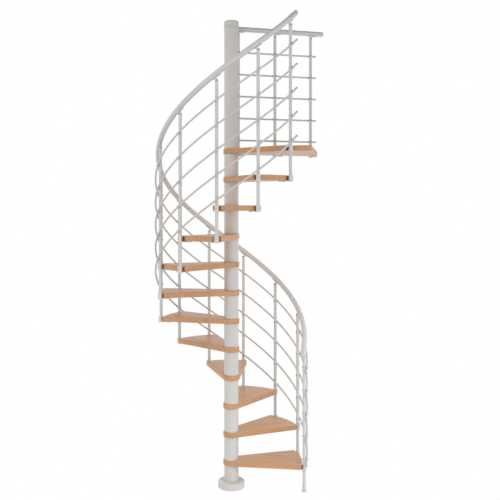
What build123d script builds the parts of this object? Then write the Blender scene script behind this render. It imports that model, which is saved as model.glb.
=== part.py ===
from build123d import *
import math
import os

# Spiral staircase, one full turn, climbing counter-clockwise seen from above.
# Frame: origin on the column axis at floor level, +Z up, +X through the first
# baluster and square to the landing's outer end. All lengths in millimetres.

# ---- driving dimensions -------------------------------------------------
RISE = 225.0                 # height of one riser
FIRST_RISE = 218.0           # the first one, from the floor to tread 1
RISERS = 12                  # eleven treads and the landing
STEP_DEG = 30.0              # plan angle of one step
TREAD_T = 40.0               # thickness of the wooden treads and landing
TREAD_R = 562.0              # outer radius of the treads
COLLAR_R = 64.0              # wooden ring round the column
LAP_DEG = 3.4                # tread reaches this far past its balusters
CORNER_R = 9.0               # plan rounding of the tread corners
EDGE_R = 4.0                 # rounding along top and bottom edges

COLUMN_R = 57.15             # column tube, 114.3 mm outside
COLUMN_WALL = 4.0
POLE_R = 38.05               # inner tie pole, 76.1 mm outside
POLE_WALL = 3.2
COLUMN_TOP = 3659.0
CAP_R = 59.25
CAP_TOP = 3712.0
CAP_NECK_R = 54.5            # recessed seam between column and cap
CAP_SEAM = 3.0

BASE_PLATE_R = 100.0
BASE_PLATE_T = 10.0
ANCHOR_PCD = 160.0
ANCHOR_HOLE_R = 5.5
BASE_COVER_R = 105.5
BASE_COVER_TOP = 51.0
BASE_COVER_WALL = 3.0

RAIL_R = 581.0               # plan radius of balusters and handrail
RUN_DEG = 10.0               # plan angle of one run of a climbing tube
BALUSTER_R = 12.5
BALUSTER_DROP = 46.0         # baluster end below the lower tread's top
BALUSTER_RISE = 881.0        # baluster top above its upper tread's top
HANDRAIL_RISE = 952.0        # handrail centre above the tread's top
HANDRAIL_TUBE_R = 20.0
HANDRAIL_PAST_DEG = 6.55     # handrail past the last baluster, without cap
HANDRAIL_FOOT_DEG = 10.6     # and below the first one
HANDRAIL_CAP_L = 15.5
HANDRAIL_CAP_ROUND = 14.0
HANDRAIL_JOINT = 0.3         # seam between two lengths of handrail

ROD_COUNT = 5
ROD_R = 7.2
ROD_RAIL_R = 602.0           # plan radius of the infill rods
ROD_FIRST = 36.0             # lowest rod above the tread's top at a baluster
ROD_PITCH = 180.0
ROD_PAST_DEG = 4.4
ROD_BALL_R = 8.8

CLAMP_R = 16.75
CLAMP_OFF = 4.25             # clamp body set outwards of the baluster's axis
CLAMP_INNER_R = 14.3         # thin wall of the clamp on the inner side
CLAMP_BORE_R = 12.65
CLAMP_UP = 2.0               # clamp above the tread's top
CLAMP_DOWN = 9.0             # clamp below the tread's underside
CLAMP_NECK_W = 21.0          # neck from the clamp into the notch
CLAMP_PLATE_L = 80.0
CLAMP_PLATE_W = 61.0
CLAMP_PLATE_T = 6.5
NOTCH_W = 54.0               # notch in the tread's edge behind a clamp
NOTCH_R = 550.0              # radius of the notch's back wall

BRACKET_RING_R = 14.0        # ring on the baluster's top
BRACKET_RING_H = 3.5
FORK_R = 12.3
PIVOT_UP = 18.0              # bracket pivot above the baluster's top
SLOT_W = 7.6
TONGUE_T = 7.0
TONGUE_W = 14.0
PIN_R = 3.5
SADDLE_T = 4.5
SADDLE_W = 19.0
SADDLE_LOW = 24.0            # saddle strip below and above the tongue
SADDLE_HIGH = 49.0
SADDLE_GAP = 0.2

HOLDER_R = 9.4
HOLDER_L = 21.0
HOLDER_BORE_R = 7.45

LANDING_END_X = 657.0
LANDING_FRONT_Y = -270.0
LANDING_DIR_DEG = 25.26      # plan direction of the landing's back edge
LANDING_RAIL_Z = 3681.8
LANDING_ROD_Z = 2776.0
LANDING_POST_GAP = 19.0      # post axis outside the landing's back edge
LANDING_POST_PITCH = 314.1
LANDING_POST_0 = (32.4, 138.2)
LANDING_RAIL_PAST_IN = 55.5
LANDING_RAIL_PAST_OUT = 97.0
LANDING_ROD_PAST = 42.0

FOOT_SLEEVE_R = 15.5
FOOT_SLEEVE_H = 40.0
FOOT_FLANGE_R = 19.0
FOOT_FLANGE_H = 9.0
FOOT_FLOOR = 4.0

# ---- derived ------------------------------------------------------------
LANDING_Z = FIRST_RISE + RISE * (RISERS - 1)
PITCH = RISE * 360.0 / STEP_DEG
CLIMB = PITCH / (2.0 * math.pi)
TREADS = RISERS - 1
OUT = "parts"


def polar(r, deg, z=0.0):
    a = math.radians(deg)
    return Vector(r * math.cos(a), r * math.sin(a), z)


def tread_z(n):
    # height of the top of tread n; the landing is the last one
    return FIRST_RISE + RISE * (n - 1)


def frame_at(p, along):
    # local frame with z along the given direction and x as near to down as
    # that allows, so that +x points below the piece
    d = Vector(*along).normalized()
    down = Vector(0, 0, -1)
    x = (down - d * down.dot(d)).normalized()
    return Plane(origin=p, x_dir=x, z_dir=d)


def helix_tangent(r, deg):
    a = math.radians(deg)
    return Vector(-r * math.sin(a), r * math.cos(a), CLIMB)


def rail_z(deg, rise):
    # height of a rail that stands `rise` above the tread tops at balusters
    return FIRST_RISE + RISE * deg / STEP_DEG + rise


def save(name, shapes):
    if not isinstance(shapes, (list, tuple)):
        shapes = [shapes]
    solids = []
    for s in shapes:
        solids.extend(s.solids())
    for s in solids:
        s.label = name
    thing = solids[0] if len(solids) == 1 else Compound(children=solids)
    thing.label = name
    export_step(thing, os.path.join(OUT, name + ".step"))
    vol = sum(s.volume for s in solids)
    print(f"{name:22s} solids {len(solids):3d}  volume {vol / 1000.0:10.1f} cm3")


def ring(r_out, r_in, z0, z1):
    h = z1 - z0
    return Pos(0, 0, z0 + h / 2) * (Cylinder(r_out, h) - Cylinder(r_in, h + 2))


def rod_z(r, z0, z1):
    return Pos(0, 0, (z0 + z1) / 2) * Cylinder(r, z1 - z0)


# ---- wooden treads and landing -----------------------------------------
def slab(outline, corners):
    # wooden board of the given outline, top face at z = 0
    face = make_face(outline)
    board = extrude(face, TREAD_T)
    board = Pos(0, 0, -TREAD_T) * board
    sharp = []
    for e in board.edges().filter_by(Axis.Z):
        c = e.center()
        for (x, y) in corners:
            if math.hypot(c.X - x, c.Y - y) < 0.5:
                sharp.append(e)
    board = fillet(sharp, CORNER_R)
    rims = board.faces().sort_by(Axis.Z)[-1].edges() + board.faces().sort_by(Axis.Z)[0].edges()
    board = fillet(rims, EDGE_R)
    return board - Pos(0, 0, -TREAD_T / 2) * Cylinder(POLE_R + 0.4, TREAD_T + 4)


def notch(board, x, y, out_deg, back):
    # rectangular recess in the edge behind a clamp; `back` is the distance
    # from the baluster axis inwards to the recess's back wall
    cut = Pos(x, y, -TREAD_T / 2) * Rot(0, 0, out_deg) * (
        Pos(-back + 40.0, 0, 0) * Box(80.0, NOTCH_W, TREAD_T + 4))
    return board - cut


def tangent_deg(px, py, side):
    # plan angle where the line from (px, py) touches the collar ring
    d = math.hypot(px, py)
    return math.degrees(math.atan2(py, px)) + side * math.degrees(math.acos(COLLAR_R / d))


def tread_board():
    # tread 1; the others are the same board turned and raised
    a0, a1 = -LAP_DEG, STEP_DEG + LAP_DEG
    f, r = polar(TREAD_R, a0), polar(TREAD_R, a1)
    t0, t1 = tangent_deg(f.X, f.Y, -1), tangent_deg(r.X, r.Y, 1)
    tf, tr = polar(COLLAR_R, t0), polar(COLLAR_R, t1)
    outline = [
        Line(tf, f),
        ThreePointArc(f, polar(TREAD_R, STEP_DEG / 2), r),
        Line(r, tr),
        ThreePointArc(tr, polar(COLLAR_R, (t0 + 360.0 + t1) / 2), tf),
    ]
    board = slab(outline, [(f.X, f.Y), (r.X, r.Y)])
    for deg in (0.0, STEP_DEG):
        p = polar(RAIL_R, deg)
        board = notch(board, p.X, p.Y, deg, RAIL_R - NOTCH_R)
    return board


def landing_geometry():
    u = Vector(math.cos(math.radians(LANDING_DIR_DEG)), math.sin(math.radians(LANDING_DIR_DEG)), 0)
    n = Vector(-u.Y, u.X, 0)
    p0 = Vector(LANDING_POST_0[0], LANDING_POST_0[1], 0)
    posts = [p0 + u * (LANDING_POST_PITCH * i) for i in range(3)]
    return u, n, posts


def landing_board():
    u, n, posts = landing_geometry()
    a0 = -STEP_DEG - LAP_DEG
    f = polar(TREAD_R, a0)
    # point on the tread circle where the straight front edge begins
    a1 = -28.95
    g = polar(TREAD_R, a1)
    c1 = Vector(LANDING_END_X, LANDING_FRONT_Y, 0)
    edge = posts[0] - n * LANDING_POST_GAP
    s2 = (LANDING_END_X - edge.X) / u.X
    c2 = edge + u * s2
    q = edge - u * 32.0
    t0, t1 = tangent_deg(f.X, f.Y, -1), tangent_deg(q.X, q.Y, 1)
    tf, tq = polar(COLLAR_R, t0), polar(COLLAR_R, t1)
    outline = [
        Line(tf, f),
        ThreePointArc(f, polar(TREAD_R, (a0 + a1) / 2), g),
        Line(g, c1),
        Line(c1, c2),
        Line(c2, q),
        Line(q, tq),
        ThreePointArc(tq, polar(COLLAR_R, (t0 + 360.0 + t1) / 2), tf),
    ]
    corners = [(f.X, f.Y), (g.X, g.Y), (c1.X, c1.Y), (c2.X, c2.Y), (q.X, q.Y)]
    board = slab(outline, corners)
    p = polar(RAIL_R, -STEP_DEG)
    board = notch(board, p.X, p.Y, -STEP_DEG, RAIL_R - NOTCH_R)
    for p in posts:
        board = notch(board, p.X, p.Y, LANDING_DIR_DEG + 90.0, RAIL_R - NOTCH_R)
    return board


# ---- clamps, brackets, holders -----------------------------------------
def clamp(side):
    # thick-walled sleeve round a baluster, with a neck that enters the notch
    # and a plate screwed under the tread; baluster axis at the origin, local
    # +x outwards, tread top at z = 0
    low = -TREAD_T - CLAMP_DOWN
    body = Pos(CLAMP_OFF, 0, 0) * rod_z(CLAMP_R, low, CLAMP_UP)
    body = fillet(body.edges().group_by(Axis.Z)[-1], 7.0)
    body = fillet(body.edges().group_by(Axis.Z)[0], 3.0)
    body += rod_z(CLAMP_INNER_R, low + 3.5, -5.5)
    reach = RAIL_R - NOTCH_R - 0.3
    body += Pos(-reach / 2, 0, -TREAD_T / 2 - 2.0) * Box(reach, CLAMP_NECK_W, TREAD_T - 8.0)
    z = -TREAD_T - CLAMP_PLATE_T / 2
    mid = side * (CLAMP_PLATE_W / 2 - 16.0)
    plate = Pos(-CLAMP_PLATE_L / 2 - 4.0, mid, z) * Box(CLAMP_PLATE_L, CLAMP_PLATE_W, CLAMP_PLATE_T)
    plate = fillet(plate.edges().filter_by(Axis.Z).group_by(Axis.X)[0], 8.0)
    body += plate
    body += Pos(-reach / 2, 0, -TREAD_T - 1.0) * Box(reach, CLAMP_NECK_W, 6.0)
    return body - Cylinder(CLAMP_BORE_R, 300)


def run_tangent(r, deg):
    # direction of the straight run of a climbing tube at plan angle deg
    a = math.radians(deg)
    w = 2.0 * r * math.tan(math.radians(RUN_DEG / 2))
    return Vector(-w * math.sin(a), w * math.cos(a), RISE * RUN_DEG / STEP_DEG)


def rail_bracket(p_rail, along, drop):
    # fork on a baluster's top, tongue pinned in it, saddle strip under the
    # handrail; p_rail is on the handrail's axis, the pivot `drop` below it
    d = along.normalized()
    flat = math.hypot(d.X, d.Y)
    heading = Vector(d.X / flat, d.Y / flat, 0)
    across = heading.cross(Vector(0, 0, 1))
    pivot = p_rail - Vector(0, 0, drop)
    upright = Plane(origin=pivot, x_dir=heading, z_dir=Vector(0, 0, 1))
    leaning = Plane(origin=pivot, x_dir=d, z_dir=across.cross(d))
    perp = drop * flat

    body = rod_z(BRACKET_RING_R, -PIVOT_UP, -PIVOT_UP + BRACKET_RING_H)
    body = fillet(body.edges().filter_by(GeomType.CIRCLE), 1.0)
    crown = Rot(90, 0, 0) * Cylinder(FORK_R, 4 * FORK_R)
    crown += Pos(0, 0, -PIVOT_UP / 2) * Box(4 * FORK_R, 4 * FORK_R, PIVOT_UP)
    body += rod_z(FORK_R, -PIVOT_UP + 1.0, FORK_R + 1.0) & crown
    slot_low = -PIVOT_UP + BRACKET_RING_H + 2.0
    body -= Pos(0, 0, slot_low + 25.0) * Box(60.0, SLOT_W, 50.0)
    body += Rot(90, 0, 0) * Cylinder(PIN_R, 2 * FORK_R - 5.0)

    top = perp - HANDRAIL_TUBE_R - SADDLE_GAP
    tall = top - SADDLE_T / 2
    tongue = Pos(0, 0, tall / 2) * Box(TONGUE_W, TONGUE_T, tall)
    tongue += Rot(90, 0, 0) * Cylinder(TONGUE_W / 2, TONGUE_T)
    length = SADDLE_LOW + SADDLE_HIGH
    strip = Pos((SADDLE_HIGH - SADDLE_LOW) / 2, 0, top - SADDLE_T / 2) * Box(length, SADDLE_W, SADDLE_T)
    strip = fillet(strip.edges().filter_by(Axis.Z), 7.0)
    strip = chamfer(strip.edges().group_by(Axis.Z)[0], 1.0)
    tongue += strip
    return upright * body + leaning * tongue


def rod_holder(p_post, p_rod, along):
    # sleeve on a rod with a foot against the baluster
    d = Vector(*along).normalized()
    inward = (p_post - p_rod)
    inward = (inward - d * inward.dot(d)).normalized()
    loc = Plane(origin=p_rod, x_dir=inward, z_dir=d)
    body = Cylinder(HOLDER_R, HOLDER_L)
    body = fillet(body.edges().filter_by(GeomType.CIRCLE), 1.5)
    body += Pos(6.5, 0, 0) * Box(9.0, 10.0, 15.0)
    body = loc * body
    body -= loc * Cylinder(HOLDER_BORE_R, HOLDER_L + 20)
    body -= Pos(p_post.X, p_post.Y, p_rod.Z) * Cylinder(BALUSTER_R + 0.1, 80)
    return max(body.solids(), key=lambda s: s.volume)


def rod_ball():
    # ball cap with a flat that meets the rod's end, local z along the rod
    off = math.sqrt(ROD_BALL_R ** 2 - (ROD_R + 0.6) ** 2)
    return (Pos(0, 0, off) * Sphere(ROD_BALL_R)) & (Pos(0, 0, 20) * Box(40, 40, 40))


def handrail_cap():
    cap = Pos(0, 0, HANDRAIL_CAP_L / 2) * Cylinder(HANDRAIL_TUBE_R, HANDRAIL_CAP_L)
    return fillet(cap.edges().group_by(Axis.Z)[-1], HANDRAIL_CAP_ROUND)


def helix_tube(r_plan, r_tube, rise, below, past, joints=()):
    # tube that climbs with the stair from the first baluster to the last and
    # runs straight on by `below` and `past` degrees; its path is short straight
    # runs joined by tangent arcs, straight where it passes a baluster. It comes
    # in lengths that butt at the plan angles in `joints`
    half = math.radians(RUN_DEG / 2)
    last = STEP_DEG * TREADS
    reach = r_plan / math.cos(math.radians(past))
    corner = r_plan / math.cos(half)
    pts = [polar(r_plan / math.cos(math.radians(below)), -below, rail_z(-below, rise))]
    lengths = [[pts[0]]]
    deg = RUN_DEG / 2
    while deg < last:
        for j in joints:
            if deg - RUN_DEG < j < deg:
                seam = polar(r_plan, j, rail_z(j, rise))
                half_gap = run_tangent(r_plan, j).normalized() * (HANDRAIL_JOINT / 2)
                lengths[-1].append(seam - half_gap)
                lengths.append([seam + half_gap])
        pts.append(polar(corner, deg, rail_z(deg, rise)))
        lengths[-1].append(pts[-1])
        deg += RUN_DEG
    pts.append(polar(reach, last + past, rail_z(last + past, rise)))
    lengths[-1].append(pts[-1])
    a, b = pts[2] - pts[1], pts[3] - pts[2]
    turn = math.radians(a.get_angle(b))
    bend = 0.45 * a.length / math.tan(turn / 2)
    tubes = []
    for way in lengths:
        start = Plane(origin=way[0], z_dir=way[1] - way[0])
        tubes.append(sweep(sections=start * Circle(r_tube), path=FilletPolyline(*way, radius=bend)))
    return tubes, pts


# ---- build --------------------------------------------------------------
os.makedirs(OUT, exist_ok=True)

# column
plate = rod_z(BASE_PLATE_R, 0, BASE_PLATE_T)
for i in range(4):
    c = polar(ANCHOR_PCD / 2, 45 + 90 * i)
    plate -= Pos(c.X, c.Y, 0) * Cylinder(ANCHOR_HOLE_R, 60)
save("base_plate", plate)

cover = rod_z(BASE_COVER_R, 0, BASE_COVER_TOP)
cover = fillet(cover.edges().group_by(Axis.Z)[-1], 12.0)
hollow = rod_z(BASE_COVER_R - BASE_COVER_WALL, -2, BASE_COVER_TOP - BASE_COVER_WALL)
hollow = fillet(hollow.edges().group_by(Axis.Z)[-1], 9.0)
cover -= hollow
cover -= rod_z(COLUMN_R + 0.4, 0, 200)
cover = chamfer(cover.edges().filter_by(GeomType.CIRCLE).group_by(Axis.Z)[0].sort_by(SortBy.RADIUS)[-1], 1.5)
save("base_cover", cover)

save("center_pole", ring(POLE_R, POLE_R - POLE_WALL, BASE_PLATE_T, COLUMN_TOP - 1.0))

spacers = []
for n in range(RISERS):
    z0 = BASE_PLATE_T if n == 0 else tread_z(n)
    z1 = tread_z(n + 1) - TREAD_T
    spacers.append(ring(COLUMN_R, COLUMN_R - COLUMN_WALL, z0, z1))
save("column_spacers", spacers)
save("upper_column", ring(COLUMN_R, COLUMN_R - COLUMN_WALL, LANDING_Z, COLUMN_TOP))

cap = rod_z(CAP_R, COLUMN_TOP + CAP_SEAM, CAP_TOP)
cap = fillet(cap.edges().group_by(Axis.Z)[-1], 10.0)
cap = chamfer(cap.edges().group_by(Axis.Z)[0], 1.0)
cap += rod_z(CAP_NECK_R, COLUMN_TOP, COLUMN_TOP + 10.0)
save("column_cap", cap)

# treads and landing
board = tread_board()
for n in range(1, TREADS + 1):
    save(f"tread_{n:02d}", Pos(0, 0, tread_z(n)) * Rot(0, 0, STEP_DEG * (n - 1)) * board)
save("landing_platform", Pos(0, 0, LANDING_Z) * landing_board())

# balusters and posts
u, n_out, posts = landing_geometry()
for k in range(1, RISERS + 1):
    p = polar(RAIL_R, STEP_DEG * (k - 1))
    z0 = FOOT_FLOOR if k == 1 else tread_z(k - 1) - BALUSTER_DROP
    save(f"baluster_{k:02d}", Pos(p.X, p.Y, 0) * rod_z(BALUSTER_R, z0, tread_z(k) + BALUSTER_RISE))
pivot_drop = HANDRAIL_RISE - BALUSTER_RISE - PIVOT_UP
slope = run_tangent(RAIL_R, 0)
level_drop = pivot_drop * math.hypot(slope.X, slope.Y) / slope.length
post_top = LANDING_RAIL_Z - level_drop - PIVOT_UP
save("landing_posts", [Pos(p.X, p.Y, 0) * rod_z(BALUSTER_R, LANDING_Z - BALUSTER_DROP, post_top) for p in posts])

foot = rod_z(FOOT_SLEEVE_R, 0, FOOT_SLEEVE_H)
foot = fillet(foot.edges().group_by(Axis.Z)[-1], 1.5)
flange = rod_z(FOOT_FLANGE_R, 0, FOOT_FLANGE_H)
flange = fillet(flange.edges().group_by(Axis.Z)[-1], 2.5)
foot = foot + flange - rod_z(CLAMP_BORE_R, FOOT_FLOOR, 200)
save("baluster_foot", Pos(RAIL_R, 0, 0) * foot)

# clamps under the treads and the landing
clamps = []
left, right = clamp(1), clamp(-1)
for n in range(1, RISERS + 1):
    deg = STEP_DEG * (n - 1)
    clamps.append(Pos(0, 0, tread_z(n)) * Rot(0, 0, deg) * Pos(RAIL_R, 0, 0) * left)
    if n < RISERS:
        clamps.append(Pos(0, 0, tread_z(n)) * Rot(0, 0, deg + STEP_DEG) * Pos(RAIL_R, 0, 0) * right)
beyond = Pos(LANDING_END_X + 46.0, 0, LANDING_Z) * Box(100, 2000, 400)
for p in posts:
    clamps.append(Pos(p.X, p.Y, LANDING_Z) * Rot(0, 0, LANDING_DIR_DEG + 90.0) * right - beyond)
save("tread_clamps", clamps)

# handrails, their brackets and end caps
seams = [STEP_DEG * k for k in range(1, TREADS)]
stair_rail, rail_pts = helix_tube(RAIL_R, HANDRAIL_TUBE_R, HANDRAIL_RISE, HANDRAIL_FOOT_DEG, HANDRAIL_PAST_DEG, seams)
save("stair_handrail", stair_rail)
rail_a = posts[0] - u * LANDING_RAIL_PAST_IN + Vector(0, 0, LANDING_RAIL_Z)
rail_b = posts[2] + u * LANDING_RAIL_PAST_OUT + Vector(0, 0, LANDING_RAIL_Z)
rail_len = (rail_b - rail_a).length
save("landing_handrail", frame_at((rail_a + rail_b) * 0.5, u) * Cylinder(HANDRAIL_TUBE_R, rail_len))

end = handrail_cap()
caps = []
caps.append(frame_at(rail_pts[0], rail_pts[0] - rail_pts[1]) * end)
caps.append(frame_at(rail_pts[-1], rail_pts[-1] - rail_pts[-2]) * end)
caps.append(frame_at(rail_a, u * -1.0) * end)
caps.append(frame_at(rail_b, u) * end)
save("handrail_end_caps", caps)

brackets = []
for k in range(1, RISERS + 1):
    deg = STEP_DEG * (k - 1)
    p, d = polar(RAIL_R, deg, tread_z(k) + HANDRAIL_RISE), run_tangent(RAIL_R, deg)
    brackets.append(rail_bracket(p, d, pivot_drop))
for p in posts:
    brackets.append(rail_bracket(p + Vector(0, 0, LANDING_RAIL_Z), u, level_drop))
save("handrail_brackets", brackets)

# infill rods with their holders and ball caps
balls, holders = [], []
ball = rod_ball()
for j in range(ROD_COUNT):
    rise = ROD_FIRST + ROD_PITCH * j
    rod, pts = helix_tube(ROD_RAIL_R, ROD_R, rise, ROD_PAST_DEG, ROD_PAST_DEG)
    save(f"infill_rod_{j + 1}", rod)
    balls.append(frame_at(pts[0], pts[0] - pts[1]) * ball)
    balls.append(frame_at(pts[-1], pts[-1] - pts[-2]) * ball)
    for k in range(1, RISERS + 1):
        deg = STEP_DEG * (k - 1)
        z = rail_z(deg, rise)
        holders.append(rod_holder(polar(RAIL_R, deg, z), polar(ROD_RAIL_R, deg, z), helix_tangent(ROD_RAIL_R, deg)))

level_rods = []
for j in range(ROD_COUNT):
    z = LANDING_ROD_Z + ROD_PITCH * j
    off = n_out * (ROD_RAIL_R - RAIL_R) + Vector(0, 0, z)
    a = posts[0] - u * LANDING_ROD_PAST + off
    b = posts[2] + u * LANDING_ROD_PAST + off
    level_rods.append(frame_at((a + b) * 0.5, u) * Cylinder(ROD_R, (b - a).length))
    balls.append(frame_at(a, u * -1.0) * ball)
    balls.append(frame_at(b, u) * ball)
    for p in posts:
        holders.append(rod_holder(p + Vector(0, 0, z), p + off, u))
save("landing_rods", level_rods)
save("rod_holders", holders)
save("rod_end_caps", balls)
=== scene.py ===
import math

import bmesh
import bpy
from mathutils import Matrix, Vector


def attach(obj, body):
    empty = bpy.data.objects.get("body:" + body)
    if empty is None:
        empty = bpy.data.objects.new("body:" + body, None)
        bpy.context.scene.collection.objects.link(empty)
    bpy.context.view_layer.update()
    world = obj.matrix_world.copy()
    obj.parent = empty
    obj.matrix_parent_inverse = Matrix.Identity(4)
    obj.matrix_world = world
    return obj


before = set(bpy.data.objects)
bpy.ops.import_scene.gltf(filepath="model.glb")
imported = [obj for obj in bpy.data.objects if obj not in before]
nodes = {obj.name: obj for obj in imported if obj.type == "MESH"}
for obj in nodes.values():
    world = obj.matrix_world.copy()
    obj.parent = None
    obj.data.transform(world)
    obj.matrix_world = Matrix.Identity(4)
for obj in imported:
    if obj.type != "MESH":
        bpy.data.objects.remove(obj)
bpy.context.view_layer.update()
scene = bpy.context.scene

# ---- stair dimensions, metres -------------------------------------------
RISE = 0.225
FIRST_RISE = 0.218
RISERS = 12
STEP = 30.0
TREAD_T = 0.040
LANDING_Z = FIRST_RISE + RISE * (RISERS - 1)
COLUMN_R = 0.05715
RAIL_R = 0.581
ROD_RAIL_R = 0.602
BALUSTER_R = 0.0125
BALUSTER_DROP = 0.046
HANDRAIL_RISE = 0.952
HANDRAIL_TUBE_R = 0.020
HANDRAIL_PAST = 6.55
HANDRAIL_FOOT = 10.6
ROD_FIRST = 0.036
ROD_PITCH = 0.180
ROD_COUNT = 5
HOLDER_R = 0.0094
HOLDER_L = 0.021
CLAMP_FACE = 0.021           # outer face of a clamp from the baluster's axis
CLAMP_SCREW_DOWN = 0.021     # set screw below the tread's top
PIVOT_DROP = 0.053
SADDLE_T = 0.0045
RUN = 10.0
LAND_DIR = 25.26
LAND_P0 = Vector((0.0324, 0.1382, 0.0))
LAND_PITCH = 0.3141
LAND_RAIL_Z = 3.6818
LAND_ROD_Z = 2.776
LAND_RAIL_IN = 0.0555
LAND_RAIL_OUT = 0.0970
LAND_END_X = 0.657
UP = Vector((0.0, 0.0, 1.0))


def polar(r, deg, z=0.0):
    a = math.radians(deg)
    return Vector((r * math.cos(a), r * math.sin(a), z))


def tread_z(n):
    return FIRST_RISE + RISE * (n - 1)


u = polar(1.0, LAND_DIR)
n_out = polar(1.0, LAND_DIR + 90.0)
posts = [LAND_P0 + u * (LAND_PITCH * i) for i in range(3)]


# ---- node helpers ---------------------------------------------------------
def new_mat(name):
    m = bpy.data.materials.new(name)
    m.use_nodes = True
    nt = m.node_tree
    for n in list(nt.nodes):
        nt.nodes.remove(n)
    out = nt.nodes.new("ShaderNodeOutputMaterial")
    bsdf = nt.nodes.new("ShaderNodeBsdfPrincipled")
    nt.links.new(bsdf.outputs["BSDF"], out.inputs["Surface"])
    return m, nt, bsdf


def node(nt, kind, **props):
    n = nt.nodes.new(kind)
    for k, v in props.items():
        setattr(n, k, v)
    return n


def setv(n, **vals):
    for k, v in vals.items():
        n.inputs[k.replace("_", " ")].default_value = v
    return n


def ramp(nt, fac, stops):
    r = nt.nodes.new("ShaderNodeValToRGB")
    el = r.color_ramp.elements
    while len(el) > 1:
        el.remove(el[0])
    el[0].position, el[0].color = stops[0][0], stops[0][1]
    for p, c in stops[1:]:
        e = el.new(p)
        e.color = c
    nt.links.new(fac, r.inputs["Fac"])
    return r.outputs["Color"]


def grey(v):
    return (v, v, v, 1.0)


def noise(nt, vec, scale, detail=3.0, rough=0.5, distortion=0.0):
    n = nt.nodes.new("ShaderNodeTexNoise")
    setv(n, Scale=scale, Detail=detail, Roughness=rough, Distortion=distortion)
    nt.links.new(vec, n.inputs["Vector"])
    return n.outputs["Fac"]


def stretched(nt, vec, scale):
    m = node(nt, "ShaderNodeMapping")
    m.inputs["Scale"].default_value = scale
    nt.links.new(vec, m.inputs["Vector"])
    return m.outputs["Vector"]


def multiply(nt, a, b, fac=1.0):
    m = nt.nodes.new("ShaderNodeMix")
    m.data_type = "RGBA"
    m.blend_type = "MULTIPLY"
    m.inputs[0].default_value = fac
    nt.links.new(a, m.inputs[6])
    nt.links.new(b, m.inputs[7])
    return m.outputs[2]


def calc(nt, op, a, b=None):
    m = nt.nodes.new("ShaderNodeMath")
    m.operation = op
    nt.links.new(a, m.inputs[0])
    if b is not None:
        m.inputs[1].default_value = b
    return m.outputs[0]


def bump(nt, b, height, strength, distance):
    n = node(nt, "ShaderNodeBump")
    setv(n, Strength=strength, Distance=distance)
    nt.links.new(height, n.inputs["Height"])
    nt.links.new(n.outputs["Normal"], b.inputs["Normal"])


def around(color, dark, light):
    return tuple(c * dark for c in color) + (1.0,), tuple(min(1.0, c * light) for c in color) + (1.0,)


# ---- materials ----------------------------------------------------------
def powder_coat(name, color, rough=0.40):
    # satin powder coat: fine orange peel, faint cloudiness, a few dust nibs
    m, nt, b = new_mat(name)
    vec = node(nt, "ShaderNodeTexCoord").outputs["Object"]
    peel = noise(nt, vec, 520.0, 2.0, 0.5)
    cloud = noise(nt, vec, 7.0, 4.0, 0.55)
    nib = noise(nt, vec, 230.0, 1.0, 0.4)
    dark, light = around(color, 0.965, 1.03)
    col = ramp(nt, cloud, [(0.3, dark), (0.7, light)])
    col = multiply(nt, col, ramp(nt, nib, [(0.74, grey(1.0)), (0.80, grey(0.93))]))
    nt.links.new(col, b.inputs["Base Color"])
    nt.links.new(ramp(nt, peel, [(0.3, grey(rough - 0.05)), (0.7, grey(rough + 0.06))]), b.inputs["Roughness"])
    bump(nt, b, peel, 0.03, 0.0005)
    return m


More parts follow.
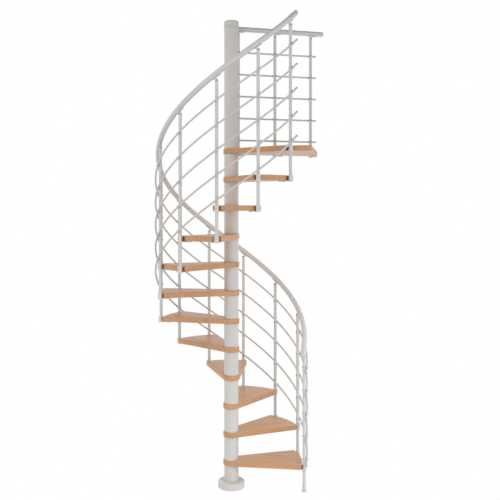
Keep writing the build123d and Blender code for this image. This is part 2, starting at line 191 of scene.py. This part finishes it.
def beech(name, angle_deg, shift):
    # lacquered beech: glued staves along the board, each with its own tone
    # and figure, fine growth lines, short ray flecks, satin clear coat
    m, nt, b = new_mat(name)
    mp = node(nt, "ShaderNodeMapping")
    mp.inputs["Rotation"].default_value = (0.0, 0.0, -math.radians(angle_deg))
    mp.inputs["Location"].default_value = shift
    nt.links.new(node(nt, "ShaderNodeTexCoord").outputs["Object"], mp.inputs["Vector"])
    sep = node(nt, "ShaderNodeSeparateXYZ")
    nt.links.new(mp.outputs["Vector"], sep.inputs[0])
    across = calc(nt, "MULTIPLY", sep.outputs["Y"], 1.0 / 0.052)
    stave = node(nt, "ShaderNodeTexWhiteNoise", noise_dimensions="1D")
    nt.links.new(calc(nt, "FLOOR", across), stave.inputs["W"])
    far = node(nt, "ShaderNodeVectorMath", operation="SCALE")
    far.inputs["Scale"].default_value = 7.0
    nt.links.new(stave.outputs["Color"], far.inputs[0])
    add = node(nt, "ShaderNodeVectorMath", operation="ADD")
    nt.links.new(mp.outputs["Vector"], add.inputs[0])
    nt.links.new(far.outputs[0], add.inputs[1])
    vec = add.outputs[0]
    figure = noise(nt, stretched(nt, vec, (1.5, 22.0, 22.0)), 1.0, 4.0, 0.55, 0.9)
    stripe = noise(nt, stretched(nt, vec, (0.9, 62.0, 62.0)), 1.0, 2.0, 0.5, 0.2)
    lines = noise(nt, stretched(nt, vec, (3.0, 150.0, 150.0)), 1.0, 3.0, 0.6, 0.3)
    fibre = noise(nt, stretched(nt, vec, (22.0, 520.0, 520.0)), 1.0, 3.0, 0.6)
    fleck = noise(nt, stretched(nt, vec, (120.0, 950.0, 950.0)), 1.0, 1.0, 0.5)
    col = ramp(nt, figure, [
        (0.25, (0.564, 0.306, 0.156, 1)), (0.50, (0.620, 0.347, 0.182, 1)), (0.75, (0.666, 0.387, 0.211, 1))])
    col = multiply(nt, col, ramp(nt, stripe, [(0.32, (0.91, 0.895, 0.88, 1)), (0.68, grey(1.0))]))
    col = multiply(nt, col, ramp(nt, lines, [(0.3, grey(0.91)), (0.7, grey(1.0))]))
    col = multiply(nt, col, ramp(nt, fibre, [(0.3, grey(0.93)), (0.7, grey(1.0))]))
    col = multiply(nt, col, ramp(nt, fleck, [(0.60, grey(1.0)), (0.72, grey(0.78))]))
    col = multiply(nt, col, ramp(nt, stave.outputs["Value"], [(0.0, (0.94, 0.93, 0.92, 1)), (1.0, (1.0, 1.0, 1.0, 1))]))
    seam = ramp(nt, calc(nt, "FRACT", across), [
        (0.0, grey(0.84)), (0.018, grey(1.0)), (0.982, grey(1.0)), (1.0, grey(0.84))])
    col = multiply(nt, col, seam)
    nt.links.new(col, b.inputs["Base Color"])
    nt.links.new(ramp(nt, fibre, [(0.3, grey(0.46)), (0.7, grey(0.54))]), b.inputs["Roughness"])
    # the flat faces are polished, the sawn edges stay duller
    turn = node(nt, "ShaderNodeSeparateXYZ")
    nt.links.new(node(nt, "ShaderNodeNewGeometry").outputs["Normal"], turn.inputs[0])
    flat = calc(nt, "ABSOLUTE", turn.outputs["Z"])
    nt.links.new(ramp(nt, flat, [(0.5, grey(0.06)), (0.9, grey(0.27))]), b.inputs["Coat Weight"])
    nt.links.new(ramp(nt, flat, [(0.5, grey(0.16)), (0.9, grey(0.42))]), b.inputs["Specular IOR Level"])
    b.inputs["Coat Roughness"].default_value = 0.24
    bump(nt, b, fibre, 0.10, 0.0006)
    return m


def plain_plastic(name, color, rough=0.5):
    # moulded plastic: fine spark-eroded grain
    m, nt, b = new_mat(name)
    vec = node(nt, "ShaderNodeTexCoord").outputs["Object"]
    grain = noise(nt, vec, 900.0, 2.0)
    cloud = noise(nt, vec, 30.0, 2.0)
    dark, light = around(color, 0.92, 1.05)
    nt.links.new(ramp(nt, cloud, [(0.3, dark), (0.7, light)]), b.inputs["Base Color"])
    nt.links.new(ramp(nt, grain, [(0.3, grey(rough - 0.06)), (0.7, grey(rough + 0.06))]), b.inputs["Roughness"])
    bump(nt, b, grain, 0.15, 0.0004)
    return m


def steel(name, color, rough=0.35):
    m, nt, b = new_mat(name)
    vec = node(nt, "ShaderNodeTexCoord").outputs["Object"]
    grain = noise(nt, vec, 400.0, 3.0)
    dark, light = around(color, 0.8, 1.1)
    nt.links.new(ramp(nt, grain, [(0.3, dark), (0.7, light)]), b.inputs["Base Color"])
    nt.links.new(ramp(nt, grain, [(0.3, grey(rough - 0.08)), (0.7, grey(rough + 0.1))]), b.inputs["Roughness"])
    setv(b, Metallic=1.0)
    return m


m_post = powder_coat("post_paint", (0.570, 0.556, 0.542))
m_column = powder_coat("column_paint", (0.555, 0.540, 0.524))
m_rail = powder_coat("handrail_paint", (0.555, 0.535, 0.518))
m_rod = powder_coat("rod_paint", (0.530, 0.508, 0.490))
m_clamp = powder_coat("clamp_paint", (0.62, 0.61, 0.60))
m_fit = plain_plastic("fitting_plastic", (0.56, 0.55, 0.54))
m_cap = plain_plastic("cap_plastic", (0.41, 0.40, 0.39))
# dark grey for the end-cap seams and the holder pads, and painted shade for the column's joints with the treads
m_dark = plain_plastic("dark_grey_and_painted_shade", (0.10, 0.10, 0.10), 0.55)
# dark reddish brown: painted shade of the shaded wood inside each tread's notch beside a clamp
m_notch_shade = plain_plastic("notch_shade_brown", (0.26, 0.105, 0.065), 0.60)
m_steel = steel("bare_steel", (0.50, 0.50, 0.51))
m_screw = steel("screw_steel", (0.075, 0.075, 0.075), 0.45)


def paint(name, mat):
    o = nodes[name]
    o.data.materials.clear()
    o.data.materials.append(mat)


for k in range(1, RISERS + 1):
    paint(f"baluster_{k:02d}", m_post)
for nm in ("landing_posts", "baluster_foot"):
    paint(nm, m_post)
for nm in ("column_spacers", "upper_column", "column_cap", "base_cover"):
    paint(nm, m_column)
for nm in ("stair_handrail", "landing_handrail", "handrail_end_caps"):
    paint(nm, m_rail)
for j in range(1, ROD_COUNT + 1):
    paint(f"infill_rod_{j}", m_rod)
paint("landing_rods", m_rod)
for nm in ("tread_clamps", "handrail_brackets"):
    paint(nm, m_clamp)
paint("rod_holders", m_fit)
paint("rod_end_caps", m_cap)
for nm in ("base_plate", "center_pole"):
    paint(nm, m_steel)
for n in range(1, RISERS):
    paint(f"tread_{n:02d}", beech(f"beech_tread_{n:02d}", STEP * (n - 1) + 2.9, (0.37 * n, 0.013 * n, 0.0)))
paint("landing_platform", beech("beech_landing", LAND_DIR - 10.0, (5.1, 1.7, 0.0)))


# ---- small hardware -------------------------------------------------------
def lathe(profile, segs=18):
    # turned shape about +Z; a profile point is (radius, height) or
    # (radius, height, True) for a hexagon of that corner radius
    verts, faces, rings = [], [], []
    for pt in profile:
        r, h = pt[0], pt[1]
        if r == 0.0:
            rings.append([len(verts)])
            verts.append((0.0, 0.0, h))
            continue
        rings.append(list(range(len(verts), len(verts) + segs)))
        for i in range(segs):
            a = 2.0 * math.pi * i / segs
            q = r
            if len(pt) > 2:
                q = r * math.cos(math.pi / 6) / math.cos(a % (math.pi / 3) - math.pi / 6)
            verts.append((q * math.cos(a), q * math.sin(a), h))
    for a, b in zip(rings, rings[1:]):
        for i in range(segs):
            k = (i + 1) % segs
            if len(a) == 1:
                faces.append((a[0], b[i], b[k]))
            elif len(b) == 1:
                faces.append((a[i], a[k], b[0]))
            else:
                faces.append((a[i], a[k], b[k], b[i]))
    if len(rings[0]) > 1 and len(rings[-1]) > 1:
        for i in range(segs):
            k = (i + 1) % segs
            faces.append((rings[-1][i], rings[-1][k], rings[0][k], rings[0][i]))
    return verts, faces


def button_head(r, h):
    # domed screw head with a hexagon socket
    return lathe([
        (0.0, -0.4 * h), (r, -0.4 * h), (r, 0.3 * h), (0.95 * r, 0.58 * h), (0.82 * r, 0.82 * h), (0.62 * r, h),
        (0.50 * r, h, True), (0.48 * r, 0.25 * h, True), (0.0, 0.15 * h)])


def set_screw(r):
    # headless screw, flush in its hole, with a hexagon socket
    return lathe([
        (0.0, -0.0016), (r, -0.0016), (r, 0.0001), (0.9 * r, 0.0004),
        (0.60 * r, 0.0004, True), (0.58 * r, -0.0011, True), (0.0, -0.0012)])


def band(r_in, r_out, h):
    # ring about +Z with eased edges
    e = min(0.25 * h, 0.25 * (r_out - r_in))
    return lathe([
        (r_in, 0.0), (r_out - e, 0.0), (r_out, e), (r_out, h - e), (r_out - e, h), (r_in, h)], 40)


def saddle_pad(r, half_w, half_h, depth):
    # oval pad that hugs a round post of radius r; +X points away from the post
    verts, faces = [], []
    segs, rows = 20, 6
    outer, inner = [], []
    for j in range(rows + 1):
        s = math.sin(0.5 * math.pi * j / rows)
        for row, lift in ((outer, depth * math.sqrt(max(0.0, 1.0 - s ** 4))), (inner, -0.0002)):
            ring = []
            for i in range(segs if j else 1):
                a = 2.0 * math.pi * i / segs
                y, z = half_w * s * math.cos(a), half_h * s * math.sin(a)
                ring.append(len(verts))
                verts.append((math.sqrt(r * r - y * y) + lift, y, z))
            row.append(ring)
    for row in (outer, inner):
        for a, b in zip(row, row[1:]):
            for i in range(segs):
                k = (i + 1) % segs
                if len(a) == 1:
                    faces.append((a[0], b[i], b[k]))
                else:
                    faces.append((a[i], a[k], b[k], b[i]))
    for i in range(segs):
        k = (i + 1) % segs
        faces.append((outer[-1][i], outer[-1][k], inner[-1][k], inner[-1][i]))
    return verts, faces


def notch_block(x0, x1, half_w, z0, z1, r=0.0030):
    # block round a clamp's neck in the tread's notch, with a flange against the wood; +X outwards, rounded rectangular
    # section; in dark brown it is painted shade of the notch's recess, in clamp paint a thin lip
    def loop(x, grow):
        pts = []
        hy, zm, hz = half_w + grow, 0.5 * (z0 + z1), 0.5 * (z1 - z0) + 0.5 * grow
        for cy, cz, a0 in ((1, 1, 0), (-1, 1, 90), (-1, -1, 180), (1, -1, 270)):
            for i in range(5):
                a = math.radians(a0 + 22.5 * i)
                pts.append((x, cy * (hy - r) + r * math.cos(a), zm + cz * (hz - r) + r * math.sin(a)))
        return pts

    verts, faces = [], []
    rows = [loop(x0, 0.0006), loop(x0 + 0.0004, 0.0010), loop(x0 + 0.0016, 0.0010), loop(x0 + 0.0020, 0.0), loop(x1, 0.0)]
    n = len(rows[0])
    for row in rows:
        verts.extend(row)
    for j in range(len(rows) - 1):
        for i in range(n):
            k = (i + 1) % n
            faces.append((j * n + i, j * n + k, (j + 1) * n + k, (j + 1) * n + i))
    faces.append(tuple(range(n)))
    faces.append(tuple((len(rows) - 1) * n + i for i in range(n)))
    return verts, faces


def facing(p, axis):
    # place with local +Z along axis
    q = Vector(axis).normalized().to_track_quat("Z", "Y")
    return Matrix.Translation(p) @ q.to_matrix().to_4x4()


def upright(p, out):
    # place with local +X along the level direction out and +Z up
    x = Vector(out).normalized()
    y = UP.cross(x)
    m = Matrix.Identity(4)
    for i in range(3):
        m[i][0], m[i][1], m[i][2], m[i][3] = x[i], y[i], UP[i], p[i]
    return m


def fit(name, shape, places, mat):
    verts, faces = [], []
    for m in places:
        at = len(verts)
        verts.extend(m @ Vector(v) for v in shape[0])
        faces.extend(tuple(at + i for i in f) for f in shape[1])
    me = bpy.data.meshes.new(name)
    me.from_pydata([tuple(v) for v in verts], [], faces)
    bm = bmesh.new()
    bm.from_mesh(me)
    bmesh.ops.recalc_face_normals(bm, faces=bm.faces)
    bm.to_mesh(me)
    bm.free()
    me.polygons.foreach_set("use_smooth", [True] * len(me.polygons))
    me.set_sharp_from_angle(angle=math.radians(38.0))
    me.materials.append(mat)
    o = bpy.data.objects.new(name, me)
    scene.collection.objects.link(o)
    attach(o, "root")
    return o


def run_dir(deg):
    w = 2.0 * RAIL_R * math.tan(math.radians(RUN / 2))
    d = polar(w, deg + 90.0)
    d.z = RISE * RUN / STEP
    return d.normalized()


# every place where a clamp, a bracket or a rod holder sits:
# (axis point of the post, outward direction, height)
clamps = []
for n in range(1, RISERS + 1):
    clamps.append((polar(RAIL_R, STEP * (n - 1)), polar(1.0, STEP * (n - 1)), tread_z(n), 1.0))
    if n < RISERS:
        clamps.append((polar(RAIL_R, STEP * n), polar(1.0, STEP * n), tread_z(n), -1.0))
for p in posts:
    clamps.append((p, n_out, LANDING_Z, -1.0))

fit("clamp_set_screws", set_screw(0.0042),
    [facing(p + out * CLAMP_FACE + UP * (z - CLAMP_SCREW_DOWN), out) for p, out, z, s in clamps],
    m_screw)

# dark blocks in each tread's notch beside a clamp: painted shade of the notch's recess
fit("clamp_notch_shade", notch_block(-0.0306, -0.0095, 0.0125, -0.0394, -0.0040),
    [upright(p + UP * z, out) for p, out, z, s in clamps], m_notch_shade)
fit("clamp_lips", notch_block(-0.0306, -0.0095, 0.0127, -0.0046, -0.0016, 0.0010),
    [upright(p + UP * z, out) for p, out, z, s in clamps], m_clamp)

under = []
for p, out, z, s in clamps:
    side = UP.cross(out) * s
    for x, y in ((-0.030, 0.036), (-0.070, 0.036), (-0.070, -0.006)):
        q = p + out * x + side * y + UP * (z - TREAD_T - 0.0065)
        if z < LANDING_Z or q.x < LAND_END_X - 0.010:
            under.append(facing(q, -UP))
fit("plate_screws", button_head(0.0045, 0.0026), under, m_screw)

pivots, saddles = [], []
rails = []
for k in range(1, RISERS + 1):
    deg = STEP * (k - 1)
    rails.append((polar(RAIL_R, deg, tread_z(k) + HANDRAIL_RISE), run_dir(deg), PIVOT_DROP))
level_drop = PIVOT_DROP * math.hypot(run_dir(0.0).x, run_dir(0.0).y)
for p in posts:
    rails.append((p + UP * LAND_RAIL_Z, u, level_drop))
for p, d, drop in rails:
    flat = math.hypot(d.x, d.y)
    across = Vector((d.x / flat, d.y / flat, 0.0)).cross(UP)
    lift = across.cross(d)
    pivot = p - UP * drop
    for s in (1.0, -1.0):
        pivots.append(facing(pivot + across * (0.0114 * s), across * s))
    foot = drop * flat - HANDRAIL_TUBE_R - 0.0002 - SADDLE_T
    for x in (0.018, 0.040):
        saddles.append(facing(pivot + d * x + lift * foot, -lift))
fit("bracket_pivot_screws", button_head(0.0056, 0.0030), pivots, m_screw)
fit("saddle_screws", button_head(0.0042, 0.0022), saddles, m_screw)

held = []
for j in range(ROD_COUNT):
    for k in range(1, RISERS + 1):
        deg = STEP * (k - 1)
        z = tread_z(k) + ROD_FIRST + ROD_PITCH * j
        d = polar(ROD_RAIL_R, deg + 90.0)
        d.z = RISE * 360.0 / STEP / (2.0 * math.pi)
        held.append((polar(RAIL_R, deg, z), polar(1.0, deg), d.normalized()))
    for p in posts:
        held.append((p + UP * (LAND_ROD_Z + ROD_PITCH * j), n_out, u))
gap = ROD_RAIL_R - RAIL_R
fit("holder_screws", button_head(0.0050, 0.0040),
    [facing(p - out * (BALUSTER_R - 0.0004), -out) for p, out, d in held], m_screw)
fit("holder_pins", button_head(0.0036, 0.0018),
    [facing(p + out * (gap + HOLDER_R - 0.0002), out) for p, out, d in held], m_cap)
# dark oval pads between each baluster and its rod holder, darkening the gap between them
fit("holder_pads", saddle_pad(BALUSTER_R, 0.0078, 0.0100, 0.0036),
    [upright(p, out) for p, out, d in held], m_dark)
fit("holder_bushes", band(0.0073, 0.0088, 0.0016),
    [facing(p + out * gap - d * (HOLDER_L / 2 - 0.0002), -d) for p, out, d in held], m_cap)

# thin dark rings where the column passes a tread, on top of it and under it: painted shade in the joint between column
# and tread
rings = []
for n in range(1, RISERS + 1):
    rings.append(Matrix.Translation((0.0, 0.0, tread_z(n))))
    rings.append(Matrix.Translation((0.0, 0.0, tread_z(n) - TREAD_T - 0.0010)))
fit("column_joint_shade_rings", band(COLUMN_R - 0.0002, COLUMN_R + 0.0016, 0.0010), rings, m_dark)

# seams of the handrail's end caps
ends = []
for deg, past in ((0.0, -HANDRAIL_FOOT), (STEP * (RISERS - 1), HANDRAIL_PAST)):
    a = deg + past
    p = polar(RAIL_R / math.cos(math.radians(past)), a, tread_z(a / STEP + 1.0) + HANDRAIL_RISE)
    q = polar(RAIL_R / math.cos(math.radians(RUN / 2)), deg - math.copysign(RUN / 2, past))
    q.z = tread_z((deg - math.copysign(RUN / 2, past)) / STEP + 1.0) + HANDRAIL_RISE
    ends.append(facing(p, p - q))
ends.append(facing(posts[0] - u * LAND_RAIL_IN + UP * LAND_RAIL_Z, -u))
ends.append(facing(posts[2] + u * LAND_RAIL_OUT + UP * LAND_RAIL_Z, u))
fit("cap_seams", band(HANDRAIL_TUBE_R - 0.0006, HANDRAIL_TUBE_R + 0.00012, 0.0007), ends, m_dark)

# plugs in the lower ends of the balusters and posts
plugs = [facing(polar(RAIL_R, STEP * (k - 1), tread_z(k - 1) - BALUSTER_DROP), -UP) for k in range(2, RISERS + 1)]
plugs += [facing(p + UP * (LANDING_Z - BALUSTER_DROP), -UP) for p in posts]
fit("baluster_plugs", lathe([
    (0.0, -0.0010), (0.0112, -0.0010), (0.0112, 0.0009), (0.0106, 0.0016), (0.0080, 0.0021), (0.0, 0.0024)], 28),
    plugs, m_cap)

# ---- stage, light, camera ------------------------------------------------
VIEW_DEG = 10.5
toward = polar(1.0, VIEW_DEG - 90.0)
right = polar(1.0, VIEW_DEG)

me = bpy.data.meshes.new("floor")
bm = bmesh.new()
bmesh.ops.create_grid(bm, x_segments=1, y_segments=1, size=40.0)
bm.to_mesh(me)
bm.free()
floor = bpy.data.objects.new("floor", me)
scene.collection.objects.link(floor)
m_floor = bpy.data.materials.new("floor_white")
m_floor.use_nodes = True
nt = m_floor.node_tree
for n in list(nt.nodes):
    nt.nodes.remove(n)


def lit_white(nt, kind, out_kind, seen, cast):
    # plain white for the eye, with its own strength as a light source
    out = nt.nodes.new(out_kind)
    way = nt.nodes.new("ShaderNodeLightPath")
    mix = nt.nodes.new("ShaderNodeMixShader")
    nt.links.new(way.outputs["Is Camera Ray"], mix.inputs[0])
    for i, s in ((1, cast), (2, seen)):
        e = nt.nodes.new(kind)
        e.inputs["Color"].default_value = (1, 1, 1, 1)
        e.inputs["Strength"].default_value = s
        nt.links.new(e.outputs[0], mix.inputs[i])
    nt.links.new(mix.outputs[0], out.inputs["Surface"])


lit_white(nt, "ShaderNodeEmission", "ShaderNodeOutputMaterial", 1.0, 0.95)
me.materials.append(m_floor)

world = bpy.data.worlds.new("studio")
scene.world = world
world.use_nodes = True
nt = world.node_tree
for n in list(nt.nodes):
    nt.nodes.remove(n)
lit_white(nt, "ShaderNodeBackground", "ShaderNodeOutputWorld", 1.0, 1.00)


def soft_box(name, fwd, side, z, aim_z, w, h, radiance, spread=180.0, aim_side=0.0, tint=(1.0, 1.0, 1.0), aim_fwd=0.0):
    # large soft panel that faces the column
    lamp = bpy.data.lights.new(name, "AREA")
    lamp.shape = "RECTANGLE"
    lamp.size, lamp.size_y = w, h
    lamp.energy = radiance * math.pi * w * h
    lamp.spread = math.radians(spread)
    lamp.color = tint
    o = bpy.data.objects.new(name, lamp)
    scene.collection.objects.link(o)
    o.location = toward * fwd + right * side + UP * z
    o.rotation_euler = (toward * aim_fwd + right * aim_side + UP * aim_z - o.location).to_track_quat("-Z", "Y").to_euler()
    o.visible_camera = False


soft_box("panel_front_left", 6.2, -5.2, 1.7, 1.0, 7.0, 3.2, 0.36)
soft_box("panel_low_steps", 1.5, 2.0, 2.6, 0.3, 1.2, 1.2, 0.40, 36.0, 0.16)
soft_box("panel_front_right", 6.2, 5.2, 1.7, 1.0, 7.0, 3.2, 0.48)
soft_box("panel_back_left", -2.6, -2.2, 1.3, 0.9, 2.4, 2.0, 0.30)
soft_box("panel_back_right", -2.6, 2.2, 1.3, 0.9, 2.4, 2.0, 0.30)

# warm light that the wood throws on the column and on the far side
soft_box("panel_warm", 0.45, 0.08, 2.25, 2.20, 0.35, 0.80, 0.30, 100.0, 0.0, (1.0, 0.60, 0.40))
soft_box("panel_warm_back", -0.09, 0.0, 1.45, 1.45, 0.22, 1.90, 0.45, 140.0, 0.0, (1.0, 0.64, 0.42), -1.0)

# flag above the stair, which keeps the top rails from washing out
me = bpy.data.meshes.new("flag")
bm = bmesh.new()
bmesh.ops.create_circle(bm, cap_ends=True, radius=1.00, segments=48)
bm.to_mesh(me)
bm.free()
flag = bpy.data.objects.new("flag", me)
scene.collection.objects.link(flag)
flag.location = (0.36, 0.06, 4.40)
flag.visible_camera = False
m_flag, nt, b = new_mat("flag_black")
b.inputs["Base Color"].default_value = (0.02, 0.02, 0.02, 1)
b.inputs["Roughness"].default_value = 1.0
me.materials.append(m_flag)

cam = bpy.data.cameras.new("cam")
cam.sensor_width = 36.0
cam.lens = 51.95
cam.shift_x = 0.0373
cam.shift_y = -0.08816
cam.clip_end = 200.0
cam_o = bpy.data.objects.new("cam", cam)
scene.collection.objects.link(cam_o)
cam_o.location = (1.0502, -5.6665, 2.239)
cam_o.rotation_euler = (math.radians(90.0), 0.0, math.radians(VIEW_DEG))
scene.camera = cam_o

scene.view_settings.view_transform = "Standard"
scene.view_settings.look = "None"
